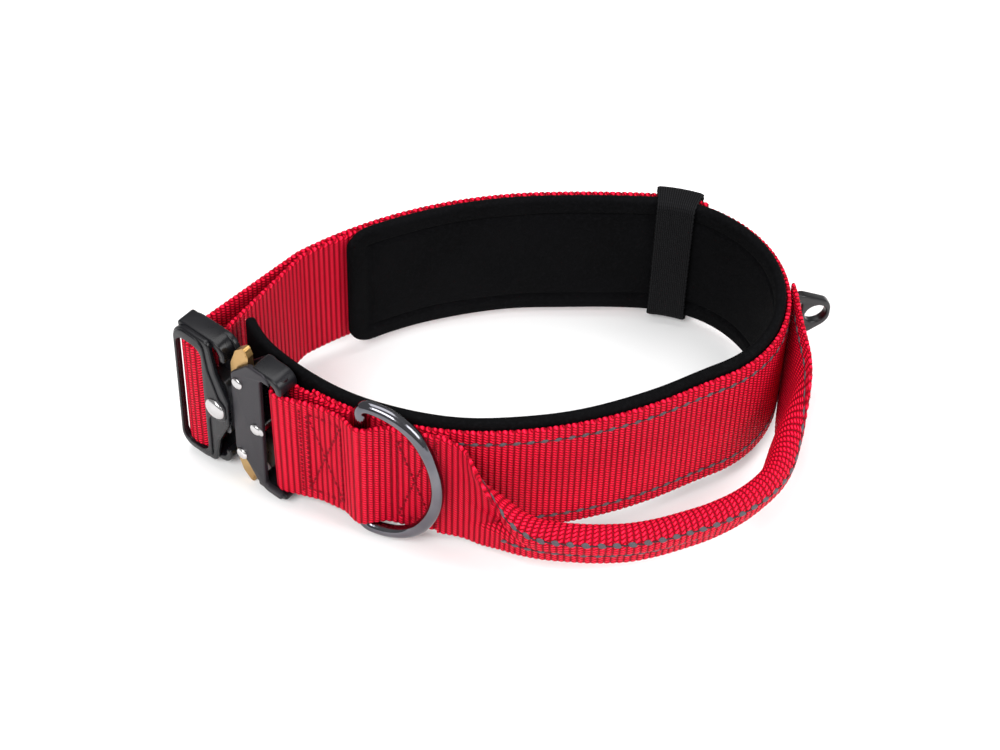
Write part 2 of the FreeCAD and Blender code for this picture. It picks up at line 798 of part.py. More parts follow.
doc.recompute()
os.makedirs("parts", exist_ok=True)
for item in doc.Objects:
    if "Invalid" in item.State or "Error" in item.State:
        raise RuntimeError(f"{item.Label}: {item.State}")
box = FreeCAD.BoundBox()
for name, item in NODES:
    if item.Shape.isNull() or not item.Shape.isValid():
        raise RuntimeError(f"{name}: shape is not valid")
    item.Shape.exportStep(f"parts/{name}.step")
    box.add(item.Shape.BoundBox)
ring_bar = ring_bar_centre() + SHIFT
leash_bar = leash_bar_centre() + SHIFT
print("d-ring bar", [round(value, 3) for value in ring_bar])
print("leash bar", [round(value, 3) for value in leash_bar])
keeper_arc, keeper_heading = plan_pose(KEEPER_START)
print("keeper arc centre", [round(value, 3) for value in keeper_arc - outward(keeper_heading) * 46.2 + SHIFT])
print("nodes", len(NODES))
print("bounds", [round(v, 3) for v in (box.XMin, box.XMax, box.YMin, box.YMax, box.ZMin, box.ZMax)])
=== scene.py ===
import math

import bpy
import numpy as np
from mathutils import Matrix, Vector, geometry


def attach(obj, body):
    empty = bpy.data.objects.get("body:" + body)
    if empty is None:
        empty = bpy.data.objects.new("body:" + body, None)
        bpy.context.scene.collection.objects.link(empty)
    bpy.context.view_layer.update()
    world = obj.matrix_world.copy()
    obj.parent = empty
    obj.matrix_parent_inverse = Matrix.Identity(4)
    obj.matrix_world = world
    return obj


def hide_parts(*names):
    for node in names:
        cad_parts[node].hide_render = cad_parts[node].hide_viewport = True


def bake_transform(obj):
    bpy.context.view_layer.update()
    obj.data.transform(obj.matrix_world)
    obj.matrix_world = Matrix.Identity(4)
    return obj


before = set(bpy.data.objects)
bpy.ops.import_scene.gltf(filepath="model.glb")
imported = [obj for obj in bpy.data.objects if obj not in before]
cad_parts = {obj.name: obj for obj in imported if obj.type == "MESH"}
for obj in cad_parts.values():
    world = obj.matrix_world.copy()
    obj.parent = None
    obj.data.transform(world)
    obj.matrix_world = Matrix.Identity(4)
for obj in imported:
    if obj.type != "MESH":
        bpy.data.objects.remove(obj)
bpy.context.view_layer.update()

# lengths are in millimetres unless a comment says otherwise
MM = 0.001
# from the drawing's origin to the frame's origin
SHIFT = np.array([-2.873, 2.158, 4.109])
BUCKLE_HEADING = math.radians(-38)
BUCKLE_CENTRE = 33.609

# ------------------------------------------------------------------ camera and light

CAMERA_ELEVATION = math.radians(48)
CAMERA_ROLL = math.radians(2)
CAMERA_DISTANCE = 0.9  # metres
CAMERA_LENS = 93.6
CAMERA_TARGET_HEIGHT = 28.0
# name, place, size and power of each lamp, in metres and watts
LAMP_TARGET = (0, 0, 0.03)
LAMPS = (
    ("key", (-0.35, -0.75, 0.95), (0.7, 0.5), 13.0),
    ("fill", (0.75, -0.35, 0.6), (0.5, 0.5), 6.0),
    ("top", (0.0, 0.25, 0.95), (0.8, 0.6), 6.5),
)
WORLD_STRENGTH = 0.42
FLOOR_HALF = 3.0  # metres


def matrix_of(columns):
    """Placement from its three axes and its origin."""
    return Matrix([[float(c[row]) for c in columns] for row in range(3)] + [[0, 0, 0, 1]])


def make_camera():
    back = np.array([0, -math.cos(CAMERA_ELEVATION), math.sin(CAMERA_ELEVATION)])
    right = np.array([1.0, 0, 0])
    up = np.cross(back, right)
    rolled_right = right * math.cos(CAMERA_ROLL) + up * math.sin(CAMERA_ROLL)
    rolled_up = -right * math.sin(CAMERA_ROLL) + up * math.cos(CAMERA_ROLL)
    target = (np.array([0, 0, CAMERA_TARGET_HEIGHT]) + SHIFT) * MM
    place = target + back * CAMERA_DISTANCE
    data = bpy.data.cameras.new("camera")
    data.sensor_width = 36
    data.lens = CAMERA_LENS
    data.clip_start = 0.01
    camera = bpy.data.objects.new("camera", data)
    camera.matrix_world = matrix_of([rolled_right, rolled_up, back, place])
    bpy.context.scene.collection.objects.link(camera)
    bpy.context.scene.camera = camera


def area_light(name, place, size, power):
    data = bpy.data.lights.new(name, "AREA")
    data.shape = "RECTANGLE"
    data.size = size[0]
    data.size_y = size[1]
    data.energy = power
    lamp = bpy.data.objects.new(name, data)
    lamp.location = place
    lamp.rotation_euler = (Vector(LAMP_TARGET) - Vector(place)).to_track_quat("-Z", "Y").to_euler()
    bpy.context.scene.collection.objects.link(lamp)


def make_studio():
    world = bpy.data.worlds.new("studio")
    world.use_nodes = True
    background = world.node_tree.nodes["Background"]
    background.inputs["Color"].default_value = (1, 1, 1, 1)
    background.inputs["Strength"].default_value = WORLD_STRENGTH
    bpy.context.scene.world = world
    bpy.context.scene.view_settings.view_transform = "Standard"
    for lamp in LAMPS:
        area_light(*lamp)
    mesh = bpy.data.meshes.new("floor")
    corners = [(x * FLOOR_HALF, y * FLOOR_HALF, 0) for x, y in ((-1, -1), (1, -1), (1, 1), (-1, 1))]
    mesh.from_pydata(corners, [], [(0, 1, 2, 3)])
    floor = bpy.data.objects.new("floor", mesh)
    bpy.context.scene.collection.objects.link(floor)
    paper, shader, _, _ = new_material("floor_paper", (0.93, 0.93, 0.93), 0.9)
    shader.inputs["Specular IOR Level"].default_value = 0.1
    floor.data.materials.append(paper)


# ------------------------------------------------------------------ materials


def new_material(name, colour, roughness, metallic=0.0):
    material = bpy.data.materials.new(name)
    material.use_nodes = True
    nodes = material.node_tree.nodes
    shader = nodes["Principled BSDF"]
    shader.inputs["Base Color"].default_value = (*colour, 1)
    shader.inputs["Roughness"].default_value = roughness
    shader.inputs["Metallic"].default_value = metallic
    return material, shader, nodes, material.node_tree.links


class Graph:
    """Short helpers for building node networks."""

    def __init__(self, nodes, links):
        self.nodes = nodes
        self.links = links

    def put(self, socket, value):
        if hasattr(value, "is_output"):
            self.links.new(value, socket)
        else:
            socket.default_value = value

    def math(self, kind, first, second=0.0):
        node = self.nodes.new("ShaderNodeMath")
        node.operation = kind
        self.put(node.inputs[0], first)
        self.put(node.inputs[1], second)
        return node.outputs[0]

    def noise(self, scale, detail=3.0, vector=None):
        node = self.nodes.new("ShaderNodeTexNoise")
        node.inputs["Scale"].default_value = scale
        node.inputs["Detail"].default_value = detail
        if vector is not None:
            self.links.new(vector, node.inputs["Vector"])
        return node.outputs["Fac"]

    def mix(self, factor, first, second):
        node = self.nodes.new("ShaderNodeMix")
        node.data_type = "RGBA"
        self.put(node.inputs["Factor"], factor)
        for socket, value in ((node.inputs[6], first), (node.inputs[7], second)):
            self.put(socket, value if hasattr(value, "is_output") else (*value, 1))
        return node.outputs[2]

    def spread(self, value, low, high, new_low=0.0, new_high=1.0):
        node = self.nodes.new("ShaderNodeMapRange")
        self.put(node.inputs["Value"], value)
        node.inputs["From Min"].default_value = low
        node.inputs["From Max"].default_value = high
        node.inputs["To Min"].default_value = new_low
        node.inputs["To Max"].default_value = new_high
        return node.outputs["Result"]

    def bump(self, shader, height, strength, distance):
        node = self.nodes.new("ShaderNodeBump")
        node.inputs["Strength"].default_value = strength
        node.inputs["Distance"].default_value = distance
        self.links.new(height, node.inputs["Height"])
        self.links.new(node.outputs["Normal"], shader.inputs["Normal"])

    def uv(self):
        """Along the strap and across it, in millimetres."""
        place = self.nodes.new("ShaderNodeTexCoord")
        split = self.nodes.new("ShaderNodeSeparateXYZ")
        self.links.new(place.outputs["UV"], split.inputs[0])
        return tuple(self.math("MULTIPLY", split.outputs[k], 1 / MM) for k in (0, 1))

    def position(self):
        return self.nodes.new("ShaderNodeTexCoord").outputs["Object"]


RIB_PITCH = 2.1
RIB_STITCH_PITCH = 1.25
KNIT_PITCH = 0.75
ELASTIC_CORD_PITCH = 0.8
ELASTIC_PICK_PITCH = 1.1
DASH_PITCH = 4.6


def webbing_material():
    """Ribbed nylon tape: each rib is a column of slanted stitches, with painted shade in the grooves between
    ribs and painted highlights on the stitch crests.
    """
    material, shader, nodes, links = new_material("webbing_red", (0.7, 0.01, 0.05), 0.55)
    g = Graph(nodes, links)
    along, across = g.uv()
    turn = g.math("MULTIPLY", along, math.pi / RIB_PITCH)
    rib = g.math("ABSOLUTE", g.math("COSINE", turn))
    which = g.math("FLOOR", g.math("ADD", g.math("DIVIDE", along, RIB_PITCH), 0.5))
    lean = g.math("MULTIPLY", g.math("SINE", g.math("MULTIPLY", turn, 2.0)), 1.3)
    phase = g.math("ADD", g.math("MULTIPLY", which, 2.4), lean)
    knot_turn = g.math("ADD", g.math("MULTIPLY", across, 2 * math.pi / RIB_STITCH_PITCH), phase)
    knot = g.math("ABSOLUTE", g.math("SINE", g.math("MULTIPLY", knot_turn, 0.5)))
    fibre = g.noise(2600.0, 2.0, g.position())
    patch = g.noise(55.0, 3.0, g.position())
    # painted shade: the colour darkens into the grooves between ribs and between the stitches along each rib
    depth = g.math("MULTIPLY", g.spread(rib, 0.15, 0.8), g.spread(knot, 0.2, 0.9, 0.08, 1.0))
    colour = g.mix(depth, (0.17, 0.0006, 0.006), (0.96, 0.0015, 0.030))
    # painted highlight: pale pink mixed onto the stitch crests at the top of each rib
    light = g.math("MULTIPLY", g.spread(knot, 0.6, 1.0), g.spread(rib, 0.7, 1.0))
    colour = g.mix(g.math("MULTIPLY", light, 0.55), colour, (1.0, 0.035, 0.10))
    colour = g.mix(g.spread(patch, 0.35, 0.7, 0.0, 0.16), colour, (0.6, 0.001, 0.02))
    colour = g.mix(g.spread(fibre, 0.55, 0.8, 0.0, 0.2), colour, (0.95, 0.09, 0.15))
    links.new(colour, shader.inputs["Base Color"])
    links.new(g.spread(fibre, 0.3, 0.7, 0.42, 0.62), shader.inputs["Roughness"])
    shader.inputs["Specular IOR Level"].default_value = 0.06
    height = g.math("ADD", g.math("MULTIPLY", knot, g.spread(rib, 0.1, 0.6)), g.math("MULTIPLY", fibre, 0.25))
    g.bump(shader, height, 1.0, 0.00050)
    return material


def grey_thread_material(name, low, high):
    material, shader, nodes, links = new_material(name, low, 0.45)
    g = Graph(nodes, links)
    grain = g.noise(3500.0, 2.0, g.position())
    colour = g.mix(grain, low, high)
    links.new(colour, shader.inputs["Base Color"])
    shader.inputs["Specular IOR Level"].default_value = 0.15
    g.bump(shader, grain, 0.6, 0.0001)
    return material


def red_thread_material():
    material, shader, nodes, links = new_material("sewing_thread", (0.3, 0.004, 0.02), 0.5)
    g = Graph(nodes, links)
    grain = g.noise(4200.0, 2.0, g.position())
    colour = g.mix(grain, (0.10, 0.0004, 0.004), (0.30, 0.001, 0.012))
    links.new(colour, shader.inputs["Base Color"])
    shader.inputs["Specular IOR Level"].default_value = 0.08
    g.bump(shader, grain, 0.5, 0.00008)
    return material


def neoprene_material():
    """Foam with a fine knitted face: tiny staggered loops, nearly black."""
    material, shader, nodes, links = new_material("neoprene_black", (0.006, 0.006, 0.007), 0.85)
    g = Graph(nodes, links)
    along, across = g.uv()
    rows = g.math("SINE", g.math("MULTIPLY", across, 2 * math.pi / KNIT_PITCH))
    columns = g.math("SINE", g.math("MULTIPLY", along, 2 * math.pi / KNIT_PITCH))
    knit = g.math("MULTIPLY", rows, columns)
    lint = g.noise(900.0, 3.0, g.position())
    soft = g.noise(38.0, 3.0, g.position())
    colour = g.mix(g.spread(lint, 0.45, 0.75), (0.0012, 0.0012, 0.0015), (0.0045, 0.0045, 0.0052))
    colour = g.mix(g.spread(soft, 0.4, 0.75, 0.0, 0.5), colour, (0.0035, 0.0035, 0.0042))
    links.new(colour, shader.inputs["Base Color"])
    links.new(g.spread(lint, 0.3, 0.7, 0.75, 0.95), shader.inputs["Roughness"])
    shader.inputs["Specular IOR Level"].default_value = 0.05
    height = g.math("ADD", g.math("MULTIPLY", knit, 0.5), g.math("ADD", lint, g.math("MULTIPLY", soft, 2.0)))
    g.bump(shader, height, 0.5, 0.00012)
    return material


def elastic_material():
    """Woven elastic: fine lengthwise cords crossed by small picks, with painted shade in the gaps between them.
    """
    material, shader, nodes, links = new_material("elastic_black", (0.008, 0.008, 0.009), 0.7)
    g = Graph(nodes, links)
    along, across = g.uv()
    cord = g.math("ABSOLUTE", g.math("SINE", g.math("MULTIPLY", across, math.pi / ELASTIC_CORD_PITCH)))
    pick = g.math("ABSOLUTE", g.math("SINE", g.math("MULTIPLY", along, math.pi / ELASTIC_PICK_PITCH)))
    grain = g.noise(2400.0, 2.0, g.position())
    weave = g.math("MULTIPLY", cord, g.spread(pick, 0.0, 1.0, 0.55, 1.0))
    # painted shade: the gaps between cords and picks are painted darker than the raised cords
    colour = g.mix(weave, (0.0015, 0.0015, 0.0018), (0.011, 0.011, 0.012))
    links.new(colour, shader.inputs["Base Color"])
    shader.inputs["Specular IOR Level"].default_value = 0.07
    g.bump(shader, g.math("ADD", weave, g.math("MULTIPLY", grain, 0.4)), 0.9, 0.00025)
    return material


def metal_material(name, dark, light, roughness, metallic, coat=0.0, grain_scale=1800.0, bump=0.00003,
                   specular=0.5):
    """Plated or coated metal with fine grain, soft cloudiness and paler, rubbed spots."""
    material, shader, nodes, links = new_material(name, dark, roughness, metallic)
    g = Graph(nodes, links)
    grain = g.noise(grain_scale, 2.0, g.position())
    cloud = g.noise(70.0, 3.0, g.position())
    colour = g.mix(g.spread(cloud, 0.35, 0.7), dark, light)
    links.new(colour, shader.inputs["Base Color"])
    rough = g.math("ADD", g.spread(cloud, 0.3, 0.7, roughness - 0.05, roughness + 0.05),
                   g.spread(grain, 0.3, 0.7, -0.03, 0.03))
    links.new(rough, shader.inputs["Roughness"])
    shader.inputs["Coat Weight"].default_value = coat
    shader.inputs["Coat Roughness"].default_value = 0.25
    shader.inputs["Specular IOR Level"].default_value = specular
    g.bump(shader, grain, 0.35, bump)
    return material


# ------------------------------------------------------------------ the sewn line

# start of the sewn line: x, y and heading
PLAN_START = (-87.4, -2.1, math.radians(-68.6))
# its arcs, (radius, turn in degrees), where both below zero bend the other way
PLAN_PIECES = [
    (47.7, 21.6),
    (94.4, 51.9),
    (143.0, 26.5),
    (-274.0, -3.2),
    (43.2, 93.9),
    (46.2, 57.0),
    (378.0, 6.2),
    (152.4, 42.0),
]
# distances along the sewn line
PAD_END = 415.0
RING_AT = 60.0
LEASH_RING_AT = 244.0


def plan_pose(distance):
    """Point (x, y) and heading of the line where pad and webbing meet, in millimetres."""
    x, y, heading = PLAN_START
    left = distance
    for number, (radius, turn) in enumerate(PLAN_PIECES):
        length = radius * math.radians(turn)
        step = left if left <= length or number == len(PLAN_PIECES) - 1 else length
        after = heading + step / radius
        x += radius * (math.sin(after) - math.sin(heading))
        y += radius * (math.cos(heading) - math.cos(after))
        heading = after
        left -= step
        if left <= 0:
            break
    return np.array([x, y]), heading


def outward(heading):
    return np.array([math.sin(heading), -math.cos(heading)])


def direction(heading):
    return np.array([math.cos(heading), math.sin(heading)])


def plan_line(start, end, offset, step=2.0):
    """Plan points along the sewn line, moved outward; offset is a number or a function of distance."""
    count = max(2, int(abs(end - start) / step) + 1)
    points = []
    for distance in np.linspace(start, end, count):
        point, heading = plan_pose(distance)
        move = offset(distance) if callable(offset) else offset
        points.append(point + outward(heading) * move)
    return np.array(points)


def bar_at(along, out):
    return direction(BUCKLE_HEADING) * along + outward(BUCKLE_HEADING) * out


def arc_round(centre, radius, first, last, count=14):
    """Plan points on a circle, from one bearing to another in degrees."""
    angles = np.radians(np.linspace(first, last, count))
    return centre + radius * np.stack([np.cos(angles), np.sin(angles)], axis=1)


def lengths_of(points):
    return np.concatenate([[0], np.cumsum(np.linalg.norm(np.diff(points, axis=0), axis=1))])


def even(points, step):
    lengths = lengths_of(points)
    count = max(2, int(round(lengths[-1] / step)) + 1)
    at = np.linspace(0, lengths[-1], count)
    return np.stack([np.interp(at, lengths, points[:, k]) for k in range(points.shape[1])], axis=1)


def resample(points, step, soften=0):
    """Even spacing along a run of points, after a light smoothing that keeps the ends."""
    fine = even(np.asarray(points, float), 0.5)
    for _ in range(soften):
        inner = (fine[:-2] + 2 * fine[1:-1] + fine[2:]) / 4
        fine = np.vstack([fine[:1], inner, fine[-1:]])
    return even(fine, step)


# ------------------------------------------------------------------ sheets of tape


def add_object(name, vertices, faces, material, body, uvs=None, smooth=True):
    mesh = bpy.data.meshes.new(name)
    mesh.from_pydata([tuple(v) for v in np.asarray(vertices) * MM], [], faces)
    mesh.materials.append(material)
    if uvs is not None:
        layer = mesh.uv_layers.new(name="UVMap")
        corners = np.zeros(len(mesh.loops), np.int32)
        mesh.loops.foreach_get("vertex_index", corners)
        layer.data.foreach_set("uv", (np.asarray(uvs)[corners] * MM).astype(np.float32).ravel())
    if smooth:
        mesh.polygons.foreach_set("use_smooth", [True] * len(mesh.polygons))
    piece = bpy.data.objects.new(name, mesh)
    bpy.context.scene.collection.objects.link(piece)
    if body:
        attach(piece, body)
    return piece


class Sheet:
    """Grid of points over a strip of tape: rows run along it and columns run across it."""

    def __init__(self, grid, along, across, face_lift):
        self.grid = grid
        self.face_lift = face_lift
        self.along = along
        self.across = across
        du = np.gradient(grid, axis=0)
        dv = np.gradient(grid, axis=1)
        normal = np.cross(du, dv)
        self.normal = normal / np.maximum(np.linalg.norm(normal, axis=2, keepdims=True), 1e-9)
        self.side = dv / np.maximum(np.linalg.norm(dv, axis=2, keepdims=True), 1e-9)

    def at(self, u, v, lift):
        """Point on the outer face at (along, across) in millimetres, raised by lift."""
        i = np.clip(np.interp(u, self.along, np.arange(len(self.along))), 0, len(self.along) - 1.001)
        j = np.clip(np.interp(v, self.across, np.arange(len(self.across))), 0, len(self.across) - 1.001)
        a, b = int(i), int(j)
        p, q = i - a, j - b

        def blend(field):
            near = field[a, b] * (1 - q) + field[a, b + 1] * q
            far = field[a + 1, b] * (1 - q) + field[a + 1, b + 1] * q
            return near * (1 - p) + far * p

        return blend(self.grid) + blend(self.normal) * lift


def rib_height(along):
    return np.abs(np.cos(np.pi * along / RIB_PITCH)) ** 0.6


def columns_across(width, count):
    """Places across a tape, closer together where its edges round off."""
    edge = np.array([0, 0.25, 0.6])
    return np.concatenate([edge, np.linspace(1.2, width - 1.2, count), width - edge[::-1]])


def closed_faces(rows, columns):
    """Faces of a closed solid whose front grid of points comes first and its back grid second."""
    total = rows * columns
    faces = []

    def number(i, j, layer):
        return layer * total + i * columns + j

    for i in range(rows - 1):
        for j in range(columns - 1):
            faces.append((number(i, j, 0), number(i + 1, j, 0), number(i + 1, j + 1, 0), number(i, j + 1, 0)))
            faces.append((number(i, j, 1), number(i, j + 1, 1), number(i + 1, j + 1, 1), number(i + 1, j, 1)))
        for j in (0, columns - 1):
            ring = (number(i, j, 0), number(i, j, 1), number(i + 1, j, 1), number(i + 1, j, 0))
            faces.append(ring if j == 0 else ring[::-1])
    for j in range(columns - 1):
        for i in (0, rows - 1):
            ring = (number(i, j, 0), number(i, j + 1, 0), number(i, j + 1, 1), number(i, j, 1))
            faces.append(ring if i == 0 else ring[::-1])
    return faces


EDGE_ROUNDING = 0.9
EDGE_THINNING = 0.85
EDGE_SCALLOP = 0.35


def tape(name, sheet, body, material, thickness, rib=0.22, groove=None):
    """Closed solid of woven tape on a sheet; ribs stand proud of both faces and scallop the edges."""
    rows, columns = sheet.grid.shape[:2]
    ribs = rib_height(sheet.along)[:, None]
    edge = np.minimum(sheet.across - sheet.across[0], sheet.across[-1] - sheet.across)
    rounding = np.clip(edge / EDGE_ROUNDING, 0, 1)
    thinning = np.sqrt(1 - (1 - rounding) ** 2 * EDGE_THINNING)[None, :]
    half = (thickness / 2 - rib) * thinning + rib * (ribs - 0.15)
    sunk = groove(sheet) if groove else 0.0
    spread = np.zeros((rows, columns))
    spread[:, 0] = -EDGE_SCALLOP
    spread[:, -1] = EDGE_SCALLOP
    sideways = spread * (ribs * 1.4 - 0.4)
    front = sheet.grid + sheet.normal * (half - sunk)[..., None] + sheet.side * sideways[..., None]
    back = sheet.grid - sheet.normal * half[..., None] + sheet.side * sideways[..., None]
    vertices = np.concatenate([front.reshape(-1, 3), back.reshape(-1, 3)])
    uv = np.stack(np.meshgrid(sheet.along, sheet.across, indexing="ij"), axis=2).reshape(-1, 2)
    return add_object(name, vertices, closed_faces(rows, columns), material, body, np.vstack([uv, uv]))


LENS_STATIONS = 7
LENS_TIP = 0.02
LENS_SUNK = 0.2
# section of a thread float: share of its half width, share of its height
LENS_SECTION = ((-1, 0.0), (-0.5, 0.75), (0.5, 0.75), (1, 0.0))


def lenses(name, sheet, marks, body, material, proud, point=0.5):
    """Many small thread floats lying on a sheet: (along, across, angle in degrees, length, width) each."""
    vertices = []
    faces = []
    for u, v, angle, length, width in marks:
        turn = math.radians(angle)
        base = len(vertices)
        for k in range(LENS_STATIONS):
            t = -1 + 2 * k / (LENS_STATIONS - 1)
            wide = width / 2 * max(0.0, 1 - t * t) ** point + LENS_TIP
            for side, lift in LENS_SECTION:
                along = t * length / 2
                across = side * wide
                a = u + along * math.cos(turn) - across * math.sin(turn)
                b = v + along * math.sin(turn) + across * math.cos(turn)
                height = sheet.face_lift + proud * (lift * math.sqrt(max(0.0, 1 - t * t)) - LENS_SUNK)
                vertices.append(sheet.at(a, b, height))
        for k in range(LENS_STATIONS - 1):
            for m in range(3):
                first = base + k * 4 + m
                faces.append((first, first + 4, first + 5, first + 1))
            faces.append((base + k * 4 + 3, base + k * 4 + 7, base + k * 4 + 4, base + k * 4))
        faces.append((base, base + 1, base + 2, base + 3))
        last = base + (LENS_STATIONS - 1) * 4
        faces.append((last + 3, last + 2, last + 1, last))
    return add_object(name, vertices, faces, material, body)


def upright_sheet(points, bottom, width, lean=0.0, start=0.0, columns=30):
    """Sheet standing on a plan run of points; lean moves its top outward."""
    points = np.asarray(points)
    along = lengths_of(points) + start
    tangent = np.gradient(points, axis=0)
    tangent /= np.linalg.norm(tangent, axis=1, keepdims=True)
    out = np.stack([tangent[:, 1], -tangent[:, 0]], axis=1)
    across = columns_across(width, columns)
    grid = np.zeros((len(points), len(across), 3))
    share = (across / width - 0.5)[None, :, None]
    grid[..., :2] = points[:, None, :] + out[:, None, :] * share * lean
    grid[..., 2] = bottom + across[None, :]
    grid[..., :2] += SHIFT[:2]
    return Sheet(grid, along, across, 0.88)


# angle in degrees, length and width of the marks in a reflective row
DIAMOND = (18.0, 3.0, 1.8)
LINK = (8.0, 2.9, 0.6)
DASH_INSET = 5.4


def dash_rows(start, end, rows):
    """Marks of the reflective rows: slanted diamonds, and the dark thread between them."""
    diamonds = []
    links = []
    for row in rows:
        for k in range(int((end - start) / DASH_PITCH) + 1):
            diamonds.append((start + k * DASH_PITCH, row, *DIAMOND))
            links.append((start + (k + 0.5) * DASH_PITCH, row, *LINK))
    return diamonds, links


def sew_dashes(name, sheet, start, end, rows, body="collar"):
    diamonds, links = dash_rows(start, end, rows)
    pieces = (lenses(name, sheet, diamonds, body, GREY, proud=0.34, point=0.75),
              lenses(name + "_links", sheet, links, body, DARK, proud=0.26))
    return pieces


def stitch_line(first, last, pitch=2.5, length=2.0, width=0.8):
    first = np.array(first, float)
    last = np.array(last, float)
    run = last - first
    count = max(1, int(np.linalg.norm(run) / pitch))
    angle = math.degrees(math.atan2(run[1], run[0]))
    return [(*(first + run * (k + 0.5) / count), angle, length, width) for k in range(count)]


GROOVE_DEPTH = 0.45
GROOVE_WIDTH = 0.75
GROOVE_REACH = 3


def groove_of(marks):
    """Depth map that pulls the tape in under a set of stitches."""

    def depth_at(sheet):
        sunk = np.zeros(sheet.grid.shape[:2])
        for u, v, *_ in marks:
            rows = np.abs(sheet.along - u) < GROOVE_REACH
            if not rows.any():
                continue
            gap = (sheet.along[rows, None] - u) ** 2 + (sheet.across[None, :] - v) ** 2
            sunk[rows] = np.maximum(sunk[rows], GROOVE_DEPTH * np.exp(-gap / (2 * GROOVE_WIDTH ** 2)))
        return sunk

    return depth_at


# ------------------------------------------------------------------ soft pieces

WEBBING_BOTTOM = 7.109
WEBBING_WIDTH = 50.0
OVERLAY_BOTTOM = 7.409
OVERLAY_WIDTH = 49.4
PAD_BOTTOM = 4.109
PAD_HEIGHT = 56.0
STEP = RIB_PITCH / 6
TAPE_THICKNESS = 1.75
THIN_TAPE = 1.6
# how far each layer's middle lies outside the sewn line
FIRST_LAYER = 0.9
SECOND_LAYER = 2.8
OVERLAY_UNDER = 3.05
OVERLAY_OVER = 4.95
WEBBING_START = 40.0


def make_main_webbing():
    points = resample(plan_line(WEBBING_START, PAD_END, FIRST_LAYER), STEP)
    sheet = upright_sheet(points, WEBBING_BOTTOM, WEBBING_WIDTH, start=WEBBING_START)
    piece = tape("main_webbing_tape", sheet, "collar", RED, TAPE_THICKNESS)
    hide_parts("main_webbing")
    sew_dashes("main_webbing_dashes", sheet, 88.0, 236.0, (DASH_INSET, WEBBING_WIDTH - DASH_INSET))


# the loop's legs run this far under the tapes that they carry on from
LAP = 1.2
# where the tape leaves the sewn line for the slide bar, and where its free end lies
LOOP_TURN = 432.0
TAIL_END = 283.0


def make_adjuster():
    """Tape round the slide bar, and its outer layer back to the free end."""
    inner = plan_line(PAD_END - LAP, LOOP_TURN, FIRST_LAYER)
    outer = plan_line(LOOP_TURN, PAD_END - LAP, SECOND_LAYER)
    round_bar = [(-69.5, 66.5), (-68.6, 69.5), (-68.7, 72.0), (-70.4, 74.2), (-73.8, 74.9), (-76.8, 74.5),
                 (-79.4, 72.6), (-80.6, 70.9), (-79.6, 69.0), (-78.7, 66.8)]
    turn = np.array([bar_at(along, out) for along, out in round_bar])
    points = resample(np.vstack([inner, turn, outer]), STEP, soften=5)
    sheet = upright_sheet(points, WEBBING_BOTTOM, WEBBING_WIDTH, start=PAD_END - LAP)
    piece = tape("adjuster_loop_tape", sheet, None, RED, TAPE_THICKNESS)
    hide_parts("adjuster_loop")
    far, _ = plan_pose(424.0)
    last = sheet.along[-1]
    dashes = sew_dashes("adjuster_dashes", sheet, last - 20.0, last - 2.0, (WEBBING_WIDTH - DASH_INSET,), None)
    for part in (piece, *dashes):
        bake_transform(part)
    length = lengths_of(points)[-1]
    tail = resample(plan_line(PAD_END, TAIL_END, SECOND_LAYER), STEP)
    tail_sheet = upright_sheet(tail, WEBBING_BOTTOM, WEBBING_WIDTH, start=PAD_END - 2 * LAP + length)
    piece = tape("adjuster_tail_tape", tail_sheet, "collar", RED, TAPE_THICKNESS)
    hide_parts("adjuster_tail")


def sewn_box(left, right, bottom, top):
    """Stitches of a box with a cross."""
    marks = []
    for first, last in (((left, bottom), (left, top)), ((right, bottom), (right, top)),
                        ((left, bottom), (right, top)), ((left, top), (right, bottom)),
                        ((left, bottom), (right, bottom)), ((left, top), (right, top))):
        marks += stitch_line(first, last)
    return marks


def make_overlay():
    """Tape round the buckle bar, stitched to itself, over the D-ring's bar and on to the handle."""
    bar = bar_at(-37.0, 69.4)
    ring, ring_heading = plan_pose(RING_AT)
    ring = ring + outward(ring_heading) * 4.4
    turned = math.degrees(ring_heading)
    under = plan_line(55.0, 46.0, OVERLAY_UNDER)
    turn = arc_round(bar, 3.35, 62, 232)
    over = plan_line(45.0, 54.0, OVERLAY_OVER)
    bulge = arc_round(ring, 3.6, turned - 125, turned - 62, 10)
    beyond = plan_line(68.0, 88.5, OVERLAY_UNDER)
    points = resample(np.vstack([under, turn, over, bulge, beyond]), STEP, soften=12)
    sheet = upright_sheet(points, OVERLAY_BOTTOM, OVERLAY_WIDTH, lean=1.0)
    total = sheet.along[-1]
    first_box = lengths_of(resample(np.vstack([under, turn, over]), STEP, soften=12))[-1]
    low = 5.0
    high = OVERLAY_WIDTH - low
    marks = sewn_box(first_box - 13.5, first_box - 0.5, low, high)
    marks += sewn_box(total - 17.0, total - 5.5, low, high)
    for column in (total - 19.2, total - 3.6):
        marks += stitch_line((column, 2.0), (column, OVERLAY_WIDTH - 2.0), pitch=1.7, length=1.3)
    tack = first_box - 16.0
    marks += stitch_line((tack, 3.0), (tack, OVERLAY_WIDTH - 3.0), pitch=1.9, length=1.4)
    piece = tape("overlay_tape", sheet, "collar", RED, TAPE_THICKNESS, groove=groove_of(marks))
    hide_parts("overlay_webbing")
    seams = lenses("box_seams", sheet, marks, "collar", THREAD, proud=0.16)
    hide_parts("box_stitches")


# folded section of the handle: (distance across the tape, outward, height)
FOLDED = np.array([
    (0, 1.7, 0), (5, 1.6, 5), (9, 1.3, 9), (11, -0.5, 10.6), (13, -1.6, 9.6), (20.5, -1.9, 2.6),
    (22.5, -3.2, 1.2), (24.5, -4.5, 2.4), (30, -4.7, 8.0), (34, -4.5, 12.4), (37, -3.4, 15.2),
    (40, -0.9, 16.7), (43, 1.9, 15.6), (45.6, 3.2, 13.0), (50, 3.4, 8.6),
])
HANDLE_WIDTH = 50.0
HANDLE_BELLY = 2.2
